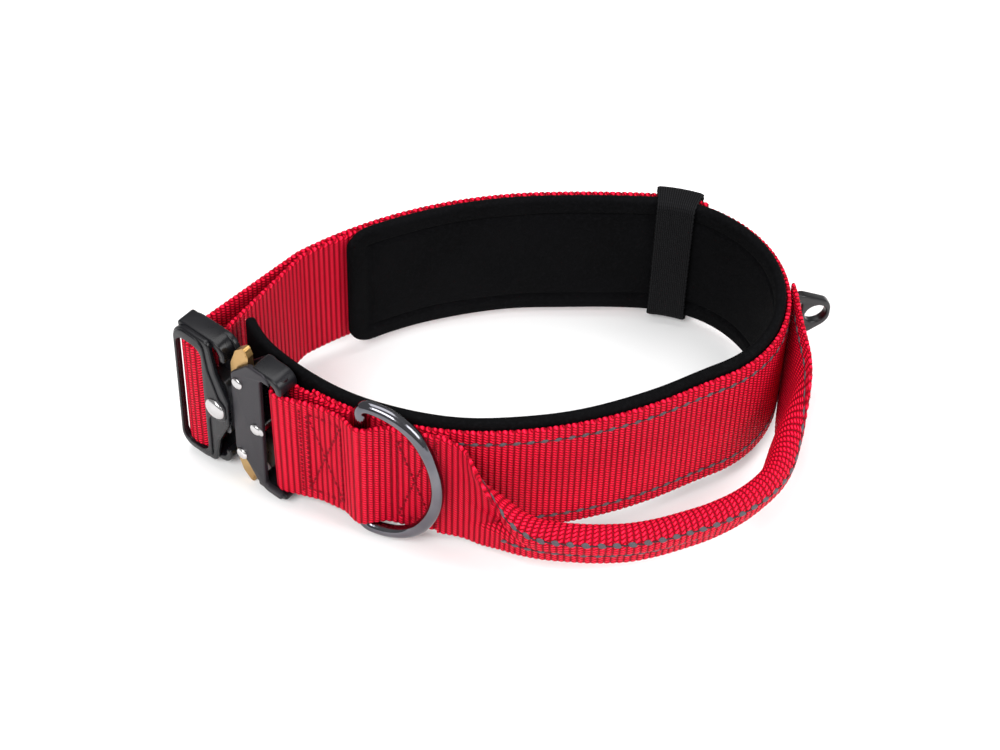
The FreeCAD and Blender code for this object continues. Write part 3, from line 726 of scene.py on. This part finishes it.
# the handle's path: plan x, y of the lower edge, its height, how far it is folded, and its lean in degrees
HANDLE_TRACK = np.array([
    (-19.5, -50.3, 3.2, 0.0, 0), (-11, -51.9, 3.1, 0.05, 2), (-4, -55.0, 3.7, 0.28, 5),
    (3, -59.2, 7.4, 0.58, 7), (9, -62.8, 10.2, 0.82, 8), (17, -66.2, 13.0, 1.0, 9),
    (26, -68.3, 15.0, 1.0, 10), (34, -69.0, 15.8, 1.0, 10), (44, -68.2, 16.0, 1.0, 10),
    (53, -65.7, 16.0, 1.0, 11), (62, -62.0, 16.0, 1.0, 12), (71, -57.7, 16.0, 1.0, 13),
    (80, -51.8, 16.0, 1.0, 14), (87.5, -44.6, 15.4, 0.98, 14), (92.8, -36.5, 13.4, 0.9, 13),
    (95.6, -27.5, 10.4, 0.72, 12), (97.0, -17.5, 6.6, 0.44, 11), (97.6, -8.0, 4.4, 0.16, 9),
    (98.3, 1.5, 3.5, 0.03, 6), (99.5, 11.0, 3.1, 0.0, 3), (100.5, 19.0, 3.1, 0.0, 1),
    (100.3, 25.5, 3.1, 0.0, 0),
])


def through(stations, step):
    """Smooth run through stations, evenly spaced in plan."""
    stations = np.asarray(stations, float)
    padded = np.vstack([2 * stations[0] - stations[1], stations, 2 * stations[-1] - stations[-2]])
    run = []
    for k in range(1, len(padded) - 2):
        p0, p1, p2, p3 = padded[k - 1:k + 3]
        for t in np.linspace(0, 1, 24, endpoint=False):
            run.append(0.5 * (2 * p1 + (p2 - p0) * t + (2 * p0 - 5 * p1 + 4 * p2 - p3) * t * t
                              + (3 * p1 - p0 - 3 * p2 + p3) * t ** 3))
    run = np.vstack([run, stations[-1:]])
    lengths = lengths_of(run[:, :2])
    at = np.linspace(0, lengths[-1], int(round(lengths[-1] / step)) + 1)
    return np.stack([np.interp(at, lengths, run[:, k]) for k in range(run.shape[1])], axis=1)


def make_handle():
    track = through(HANDLE_TRACK, STEP)
    across = columns_across(HANDLE_WIDTH, 64)
    fine = through(FOLDED[:, [1, 2, 0]], 0.25)
    order = np.argsort(fine[:, 2])
    fold_out = np.interp(across, fine[order, 2], fine[order, 0])
    fold_up = np.interp(across, fine[order, 2], fine[order, 1])
    tangent = np.gradient(track[:, :2], axis=0)
    tangent /= np.linalg.norm(tangent, axis=1, keepdims=True)
    out = np.stack([tangent[:, 1], -tangent[:, 0]], axis=1)
    # the fold eases in and out at the ends of the handle
    folded = np.clip(track[:, 3][:, None], 0, 1)
    folded = folded * folded * (3 - 2 * folded) * 0.5 + folded * 0.5
    o = folded * fold_out[None, :]
    h = (1 - folded) * across[None, :] * (OVERLAY_WIDTH / HANDLE_WIDTH) + folded * fold_up[None, :]
    belly = np.sin(np.pi * folded) * np.sin(np.pi * across / HANDLE_WIDTH)[None, :]
    o = o - HANDLE_BELLY * belly
    lean = np.radians(track[:, 4])[:, None]
    leaned = o * np.cos(lean) + h * np.sin(lean)
    height = h * np.cos(lean) - o * np.sin(lean)
    grid = np.zeros((len(track), len(across), 3))
    grid[..., :2] = track[:, None, :2] + out[:, None, :] * leaned[..., None] + SHIFT[:2]
    grid[..., 2] = track[:, 2][:, None] + height + SHIFT[2]
    sheet = Sheet(grid, lengths_of(track[:, :2]), across, 0.82)
    piece = tape("handle_tape", sheet, "collar", RED, THIN_TAPE)
    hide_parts("handle_webbing")
    total = sheet.along[-1]
    sew_dashes("handle_dashes_low", sheet, 26.0, total - 8.0, (DASH_INSET,))
    # the fold turns the tape over, so its upper row lies on the back face
    sheet.normal = -sheet.normal
    sew_dashes("handle_dashes_top", sheet, 8.0, total - 8.0, (HANDLE_WIDTH - DASH_INSET,))


PAD_CORNER = 9.0
PAD_START_TOP_CORNER = 3.0
PAD_START_LOW_CORNER = 14.0
PAD_BACK = 2.0
RIM_RADIUS = 2.2
SEAM_INSET = 7.6
SEAM_DEPTH = 1.15
SEAM_WIDTH = 0.8


def corner_drop(distance, radius):
    """How far a rounded corner has fallen from the edge, at a distance from the end."""
    if distance >= radius:
        return 0.0
    return radius - math.sqrt(max(0.0, radius ** 2 - (radius - distance) ** 2))


def make_pad():
    """Foam pad: rolled rim, sewn groove a finger's width in from the edge, and a softly swollen middle."""
    along = np.concatenate([[0, 0.3, 0.8, 1.5, 2.5, 3.6, 5, 6.5, 8], np.arange(10, PAD_END - 9, 1.6),
                            PAD_END - np.array([8, 6.5, 5, 3.6, 2.5, 1.5, 0.8, 0.3, 0])])
    share = np.concatenate([[0, 0.006, 0.014, 0.025, 0.04, 0.055], np.linspace(0.075, 0.925, 60),
                            [0.945, 0.96, 0.975, 0.986, 0.994, 1.0]])
    inner = np.zeros((len(along), len(share), 3))
    outer = np.zeros_like(inner)
    for i, distance in enumerate(along):
        point, heading = plan_pose(distance)
        out = outward(heading)
        far = PAD_END - distance
        high = PAD_HEIGHT - corner_drop(far, PAD_CORNER) - corner_drop(distance, PAD_START_TOP_CORNER)
        low = corner_drop(far, PAD_CORNER) + corner_drop(distance, PAD_START_LOW_CORNER)
        for j, t in enumerate(share):
            z = low + (high - low) * t
            edge = min(z - low, high - z, distance, far)
            rim = math.sqrt(max(0.0, 1 - (1 - min(edge, RIM_RADIUS) / RIM_RADIUS) ** 2))
            groove = math.exp(-((edge - SEAM_INSET) / SEAM_WIDTH) ** 2)
            swell = 0.45 * (1 - math.exp(-(edge - SEAM_INSET) / 5.0)) if edge > SEAM_INSET else 0.25
            depth = PAD_BACK + (1.75 + swell) * rim - SEAM_DEPTH * groove
            wave = 0.25 * math.sin(distance * 0.11) * math.sin(z * 0.19 + distance * 0.05)
            back = PAD_BACK - 1.8 * rim
            inner[i, j, :2] = point - out * (depth + wave * rim) + SHIFT[:2]
            outer[i, j, :2] = point - out * back + SHIFT[:2]
            inner[i, j, 2] = outer[i, j, 2] = PAD_BOTTOM + z
    # the pad's first grid faces inward, so each face turns the other way
    faces = [(face[0], *face[:0:-1]) for face in closed_faces(len(along), len(share))]
    uv = np.stack(np.meshgrid(along, share * PAD_HEIGHT, indexing="ij"), axis=2).reshape(-1, 2)
    vertices = np.concatenate([inner.reshape(-1, 3), outer.reshape(-1, 3)])
    piece = add_object("neoprene_pad_foam", vertices, faces, NEOPRENE, "collar", np.vstack([uv, uv]))
    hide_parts("neoprene_pad")


KEEPER_AT = 300.5
KEEPER_WIDTH = 15.0


def make_keeper():
    """Elastic sewn into a loop round the pad and both straps."""
    low = 3.3
    high = 60.5
    inside = -5.7
    outside = 4.7
    corner = 1.6
    track = [(outside, low + corner + 6), (outside, low + corner), (outside - corner, low),
             (inside + corner, low), (inside, low + corner), (inside, high - corner),
             (inside + corner, high), (outside - corner, high), (outside, high - corner), (outside, low + 9)]
    loop = resample(np.array(track, float), 0.45, soften=5)
    middle = np.linspace(0.8, KEEPER_WIDTH - 0.8, 24)
    across = np.concatenate([[0, 0.3], middle, [KEEPER_WIDTH - 0.3, KEEPER_WIDTH]])
    grid = np.zeros((len(loop), len(across), 3))
    for j, v in enumerate(across):
        point, heading = plan_pose(KEEPER_AT - v)
        grid[:, j, :2] = point + outward(heading) * loop[:, :1] + SHIFT[:2]
        grid[:, j, 2] = loop[:, 1]
    sheet = Sheet(grid, lengths_of(loop), across, 0.4)
    piece = tape("keeper_elastic", sheet, "keeper", ELASTIC, 1.1, rib=0.04)
    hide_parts("keeper")


LEASH_RING_OUT = 4.2
LEASH_RING_CENTRE = 32.109
TAB_WIDTH = 12.0


def make_leash_tab():
    """Narrow tape sewn to the webbing on both sides of the leash ring's bar."""
    point, heading = plan_pose(LEASH_RING_AT)
    bar = point + outward(heading) * LEASH_RING_OUT
    turned = math.degrees(heading)
    before = plan_line(237.0, 239.5, SECOND_LAYER, 0.8)
    bulge = arc_round(bar, 2.7, turned - 130, turned - 50, 9)
    after = plan_line(248.5, 251.0, SECOND_LAYER, 0.8)
    points = resample(np.vstack([before, bulge, after]), STEP, soften=6)
    sheet = upright_sheet(points, LEASH_RING_CENTRE - TAB_WIDTH / 2, TAB_WIDTH, start=1.0, columns=14)
    piece = tape("leash_ring_tab", sheet, "collar", RED, THIN_TAPE)
    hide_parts("leash_ring_loop")


# ------------------------------------------------------------------ buckle


def rounded(corners, steps=6):
    """Points of a closed outline with each corner (x, y, radius) turned by an arc."""
    outline = []
    count = len(corners)
    for k in range(count):
        x, y, radius = corners[k]
        corner = Vector((x, y))
        if radius == 0:
            outline.append(corner)
            continue
        before = (Vector(corners[k - 1][:2]) - corner).normalized()
        after = (Vector(corners[(k + 1) % count][:2]) - corner).normalized()
        half = before.angle(after) / 2
        reach = radius / math.tan(half)
        middle = corner + (before + after).normalized() * (radius / math.sin(half))
        first = corner + before * reach - middle
        last = corner + after * reach - middle
        turn = first.angle_signed(last)
        for t in range(steps + 1):
            outline.append(middle + Matrix.Rotation(-turn * t / steps, 2) @ first)
    return outline


def mirrored(upper):
    return upper + [(x, -y, radius) for x, y, radius in reversed(upper)]


def buckle_matrix():
    """The buckle's plane: along it, up it and out of its face."""
    along = direction(BUCKLE_HEADING)
    face = outward(BUCKLE_HEADING)
    place = np.array([*SHIFT[:2], BUCKLE_CENTRE]) * MM
    return matrix_of([(*along, 0), (0, 0, 1), (*face, 0), place])


def inset(points, distance):
    """Closed outline moved to its left by a distance."""
    before = points - np.roll(points, 1, axis=0)
    after = np.roll(before, -1, axis=0)
    before = before / np.linalg.norm(before, axis=1, keepdims=True)
    after = after / np.linalg.norm(after, axis=1, keepdims=True)
    left = np.stack([-(before[:, 1] + after[:, 1]), before[:, 0] + after[:, 0]], axis=1)
    scale = 2.0 / np.maximum((left ** 2).sum(axis=1, keepdims=True), 0.6)
    return points + left * scale * distance


def signed_area(points):
    x, y = points.T
    return 0.5 * float(np.sum(x * np.roll(y, -1) - np.roll(x, -1) * y))


def plate(name, loops, out, depth, body, material, bevel=0.5, steps=4, smooth=35, matrix=None):
    """Plate with rounded edges, in the buckle's plane or another: outer outline first, then its holes."""
    rings = []
    for k in range(steps + 1):
        turn = math.pi / 2 * k / steps
        rings.append((bevel * (1 - math.sin(turn)), bevel * (1 - math.cos(turn))))
    rings += [(away, depth - level) for away, level in reversed(rings)]
    vertices = []
    faces = []
    caps = ([], [])
    for number, loop in enumerate(loops):
        points = np.array([tuple(point)[:2] for point in loop], float)
        keep = np.linalg.norm(points - np.roll(points, 1, axis=0), axis=1) > 1e-4
        points = points[keep]
        if (signed_area(points) > 0) != (number == 0):
            points = points[::-1]
        count = len(points)
        base = len(vertices)
        for away, level in rings:
            for x, y in inset(points, away):
                vertices.append((x, y, out + level))
        for r in range(len(rings) - 1):
            for k in range(count):
                first = base + r * count
                after = (k + 1) % count
                faces.append((first + k, first + after, first + count + after, first + count + k))
        caps[0].append(list(range(base, base + count)))
        last = base + (len(rings) - 1) * count
        caps[1].append(list(range(last, last + count)))
    for side, cap in enumerate(caps):
        numbers = [number for loop in cap for number in loop]
        flat = [[Vector((*vertices[number][:2], 0)) for number in loop] for loop in cap]
        for triangle in geometry.tessellate_polygon(flat):
            corners = [numbers[k] for k in triangle]
            (ax, ay), (bx, by), (cx, cy) = (vertices[k][:2] for k in corners)
            upward = (bx - ax) * (cy - ay) - (by - ay) * (cx - ax) > 0
            faces.append(tuple(corners if upward == (side == 1) else corners[::-1]))
    matrix = matrix or buckle_matrix()
    placed = [np.array(matrix @ (Vector(vertex) * MM)) / MM for vertex in vertices]
    piece = add_object(name, placed, faces, material, body)
    piece.data.set_sharp_from_angle(angle=math.radians(smooth))
    return piece


def circle(x, y, radius, count=28):
    return [(x + radius * math.cos(2 * math.pi * k / count), y + radius * math.sin(2 * math.pi * k / count))
            for k in range(count)]


def lathe(name, profile, along, across, body, material, count=40, matrix=None):
    """Round piece, along the buckle's depth or on another axis: profile is (radius, distance out)."""
    matrix = matrix or buckle_matrix()
    vertices = []
    for radius, out in profile:
        for x, y in circle(along, across, radius, count):
            vertices.append(np.array(matrix @ Vector((x * MM, y * MM, out * MM))) / MM)
    faces = []
    for r in range(len(profile) - 1):
        for k in range(count):
            a, b = r * count + k, r * count + (k + 1) % count
            faces.append((a, b, b + count, a + count))
    faces.append(tuple(range(count))[::-1])
    faces.append(tuple((len(profile) - 1) * count + k for k in range(count)))
    piece = add_object(name, vertices, faces, material, body)
    piece.data.set_sharp_from_angle(angle=math.radians(40))
    return piece


def male_buckle():
    """Bent frame that the adjustable end threads through, with its stepped front plate."""
    back = [(-81.3, 30.2, 6), (-60.5, 30.2, 5), (-57.5, 24.0, 2)]
    window = [(-79.6, 26.4, 2.5), (-68.0, 26.4, 2.5), (-68.0, -26.9, 2.5), (-79.6, -26.9, 2.5)]
    loops = [rounded(mirrored(back)), rounded(window)]
    pieces = [plate("male_back_plate", loops, 66.0, 2.2, "male_half", BLACK)]
    for name, side in (("top", 1), ("bottom", -1)):
        wall = [(-80.6, 30.3, 1.6), (-59.4, 30.3, 5.5), (-59.4, 22.5, 0.9), (-61.9, 22.5, 0.9),
                (-61.9, 27.3, 3.0), (-80.6, 27.3, 0.8)]
        wall = [(x, y * side, radius) for x, y, radius in wall]
        pieces.append(plate("male_wall_" + name, [rounded(wall)], 66.4, 7.3, "male_half", BLACK, bevel=0.7))
    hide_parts("male_frame")
    edge = [(-81.3, 30.2, 6), (-65.0, 30.2, 2.5), (-62.6, 17.0, 3), (-57.6, 5.6, 3)]
    window = [(-79.6, 25.6, 4), (-68.0, 25.6, 4), (-68.0, -27.0, 4), (-79.6, -27.0, 4)]
    pieces.append(plate("slot_frame_plate", [rounded(mirrored(edge)), rounded(window)], 73.5, 2.1, "male_half",
                        BLACK, bevel=0.6))
    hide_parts("slot_frame")
    rim = [(-80.7, 29.6, 5.5), (-67.4, 29.6, 4), (-65.6, 17.0, 4), (-61.2, 5.4, 3), (-58.3, 3.2, 3),
           (-58.3, -3.6, 3), (-61.0, -5.6, 2), (-65.4, -5.6, 1.2), (-66.4, -8.0, 1.2), (-66.4, -28.2, 3),
           (-69.0, -29.6, 3), (-80.7, -29.6, 5.5)]
    pieces.append(plate("slot_frame_rim", [rounded(rim), rounded(window)], 75.2, 1.0, "male_half", BLACK,
                        bevel=0.35))


def female_buckle():
    """Back plate, bent arms that hold the webbing's bar, and the shaped front plate."""
    back = [(-55.0, 21.0, 3), (-46.4, 30.2, 3), (-42.5, 30.2, 2)]
    pieces = [plate("female_back_plate", [rounded(mirrored(back))], 64.6, 1.8, "collar", BLACK)]
    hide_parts("female_body")
    top = [(-47.2, 30.3, 1.2), (-34.0, 30.3, 4.5), (-34.0, 24.0, 1.0), (-36.6, 24.0, 1.0),
           (-36.6, 27.0, 2.0), (-47.2, 27.0, 0.8)]
    bottom = [(-47.2, -30.3, 1.2), (-36.5, -30.3, 2.6), (-33.8, -28.8, 1.0), (-33.8, -27.0, 0.8),
              (-47.2, -27.0, 0.8)]
    for name, arm in (("top", top), ("bottom", bottom)):
        pieces.append(plate("female_arm_" + name, [rounded(arm)], 64.9, 8.6, "collar", BLACK, bevel=0.8))
    face = [(-56.5, 21.3, 2.5), (-48.4, 30.1, 3.0), (-38.8, 30.1, 3.2), (-38.8, 26.6, 1.0),
            (-43.2, 26.6, 1.6), (-43.2, -26.9, 1.6), (-35.6, -26.9, 1.0), (-35.6, -30.1, 1.5),
            (-43.0, -30.1, 5.0), (-47.2, -27.0, 4.0), (-51.4, -20.6, 5.0), (-56.5, -17.4, 3.0)]
    pieces.append(plate("female_face_plate", [rounded(face)], 72.0, 2.0, "collar", SATIN, bevel=0.55))
    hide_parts("female_front_plate")


# name, place along and up the buckle, radius, front of the plate, rise of the dome, body
RIVETS = (
    ("pivot_rivet_top", -53.4, 18.0, 2.35, 74.0, 1.15, "collar"),
    ("pivot_rivet_bottom", -53.4, -18.0, 2.35, 74.0, 1.15, "collar"),
    ("stud_rivet", -46.0, 0.0, 2.35, 74.0, 1.15, "collar"),
    ("tongue_rivet_head", -62.9, 0.0, 4.3, 76.1, 1.7, "male_half"),
)
RIVET_SUNK = 0.4
RIVET_WALL = 0.2
DOME_STEPS = 9


def rivet_heads():
    """Domed heads of the plate's rivets, standing on their pins."""
    for name, along, across, radius, front, rise, body in RIVETS:
        wall_top = front + RIVET_WALL
        profile = [(radius, front - RIVET_SUNK), (radius, wall_top)]
        for k in range(1, DOME_STEPS):
            turn = math.pi / 2 * k / DOME_STEPS
            profile.append((radius * math.cos(turn) ** 0.8, wall_top + (rise - RIVET_WALL) * math.sin(turn)))
        piece = lathe(name, profile, along, across, body, SILVER)


def latch_grips():
    """Ridges under the thumb on each latch's tip."""
    for name, side in (("latch_top", 1), ("latch_bottom", -1)):
        for k in range(3):
            x = -51.35 + 0.42 * k
            y = 33.0 - 1.15 * k
            ridge = [(x - 0.9, (y - 0.1) * side, 0.15), (x + 0.28, (y - 0.35) * side, 0.15),
                     (x + 0.42, (y + 0.2) * side, 0.15), (x - 0.7, (y + 0.45) * side, 0.15)]
            piece = plate(name + "_ridge_" + str(k), [rounded(ridge, 2)], 68.85, 2.9, name, BRASS, bevel=0.15,
                          steps=2)


def leash_ring():
    """Forged black ring standing across the webbing, with a round hole and its upright bar."""
    point, heading = plan_pose(LEASH_RING_AT)
    out = outward(heading)
    side = direction(heading)
    place = np.array([*(point + out * LEASH_RING_OUT + SHIFT[:2]), LEASH_RING_CENTRE]) * MM
    across_tape = matrix_of([(*out, 0), (0, 0, 1), (*-side, 0), place])
    outline = [(-1.6, -10.5, 1.4), (6.0, -10.5, 4.0), (17.0, -4.6, 5.6), (17.0, 4.6, 5.6), (6.0, 10.5, 4.0),
               (-1.6, 10.5, 1.4), (-1.6, 7.4, 1.0), (5.6, 7.4, 1.6), (5.6, -7.4, 1.6), (-1.6, -7.4, 1.0)]
    hole = circle(11.4, 0.0, 4.0, 36)
    forging = plate("leash_ring_forging", [rounded(outline), hole], -1.7, 3.4, "leash_ring", FORGED, bevel=0.75,
                    steps=5, matrix=across_tape)
    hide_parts("leash_ring")
    upright = matrix_of([(1, 0, 0), (0, 1, 0), (0, 0, 1), place])
    profile = [(1.1, -7.9), (1.5, -7.5), (1.5, 7.5), (1.1, 7.9)]
    bar = lathe("leash_ring_bar", profile, 0.0, 0.0, "leash_ring", FORGED, 24, upright)


RED = webbing_material()
GREY = grey_thread_material("reflective_thread", (0.03, 0.027, 0.032), (0.13, 0.115, 0.13))
DARK = grey_thread_material("dark_thread", (0.02, 0.006, 0.009), (0.06, 0.02, 0.026))
THREAD = red_thread_material()
NEOPRENE = neoprene_material()
ELASTIC = elastic_material()
BLACK = metal_material("coated_black", (0.0035, 0.0035, 0.0045), (0.007, 0.007, 0.009), 0.30, 0.0, coat=0.10,
                       specular=0.2)
SATIN = metal_material("satin_plate", (0.018, 0.016, 0.020), (0.024, 0.022, 0.027), 0.42, 0.1, coat=0.04,
                       specular=0.2)
SILVER = metal_material("rivet_silver", (0.42, 0.41, 0.41), (0.62, 0.61, 0.61), 0.2, 1.0)
BRASS = metal_material("latch_brass", (0.42, 0.25, 0.09), (0.62, 0.42, 0.18), 0.36, 1.0)
STEEL = metal_material("tongue_steel", (0.10, 0.10, 0.11), (0.2, 0.2, 0.21), 0.35, 1.0)
GUNMETAL = metal_material("gunmetal_plate", (0.10, 0.10, 0.115), (0.15, 0.15, 0.165), 0.11, 1.0, bump=0.00001)
FORGED = metal_material("forged_black", (0.004, 0.004, 0.005), (0.009, 0.009, 0.011), 0.34, 0.1, coat=0.12,
                        grain_scale=900.0, bump=0.00006, specular=0.35)
# nodes that keep their own shape and only take a material
CARRIED_OVER = {
    "d_ring": GUNMETAL,
    "slide_bar": BLACK,
    "tongue": STEEL,
    "tongue_rivet": SILVER,
    "webbing_bar": BLACK,
    "latch_top": BRASS,
    "latch_bottom": BRASS,
    "latch_springs": STEEL,
    "latch_pins": SILVER,
    "stud": SILVER,
}

make_camera()
make_studio()
make_pad()
make_main_webbing()
make_adjuster()
make_overlay()
make_handle()
make_keeper()
make_leash_tab()
male_buckle()
female_buckle()
rivet_heads()
latch_grips()
leash_ring()

for node, material in CARRIED_OVER.items():
    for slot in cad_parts[node].material_slots:
        slot.material = material
